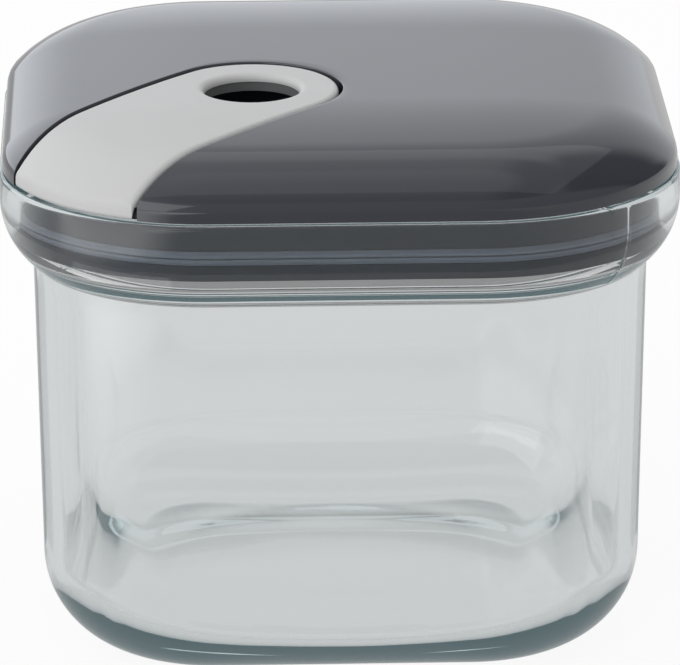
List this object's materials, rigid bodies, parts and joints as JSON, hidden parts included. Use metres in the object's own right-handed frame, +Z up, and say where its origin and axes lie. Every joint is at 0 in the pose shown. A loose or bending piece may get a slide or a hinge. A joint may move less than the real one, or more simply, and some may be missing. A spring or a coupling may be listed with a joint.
{
  "type": "square glass food canister",
  "caption": "Square glass food canister with a domed plug lid, a silicone seal and a corner lever that lets air in.",
  "frame": {"origin": "centre of the jar's footprint, on the surface it stands on", "axes": "+Z up; the lever lies in the corner towards -X and -Y, and the front is towards -Y"},
  "size_m": [0.132, 0.132, 0.1102],
  "materials": {
    "clear_glass": "polished, faint teal at the edges",
    "smoke_plastic": "high gloss",
    "dark_plastic": "moulded, satin",
    "mid_plastic": "moulded, satin",
    "light_plastic": "fine matte",
    "grey_silicone": "soft, dull",
    "steel": "drawn"
  },
  "bodies": {
    "jar": {"glass_jar": "clear_glass"},
    "lid": {"lid_cover": "smoke_plastic", "lid_base": "dark_plastic", "seal_gasket": "grey_silicone", "lever_tray": "dark_plastic", "tray_screws": "steel", "hinge_pin": "steel", "umbrella_valve": "grey_silicone"},
    "lever": {"pull_lever": "light_plastic", "lever_frame": "mid_plastic", "vent_plug": "grey_silicone"}
  },
  "joints": [
    {"name": "lid_lift", "type": "slide", "parent": "jar", "child": "lid", "axis": [0, 0, 1], "range_m": [0, 0.06]},
    {"name": "lever_pull", "type": "hinge", "parent": "lid", "child": "lever", "pos_m": [-0.0515, -0.0515, 0.0997], "axis": [0.7071, -0.7071, 0], "range_deg": [0, 12]}
  ]
}
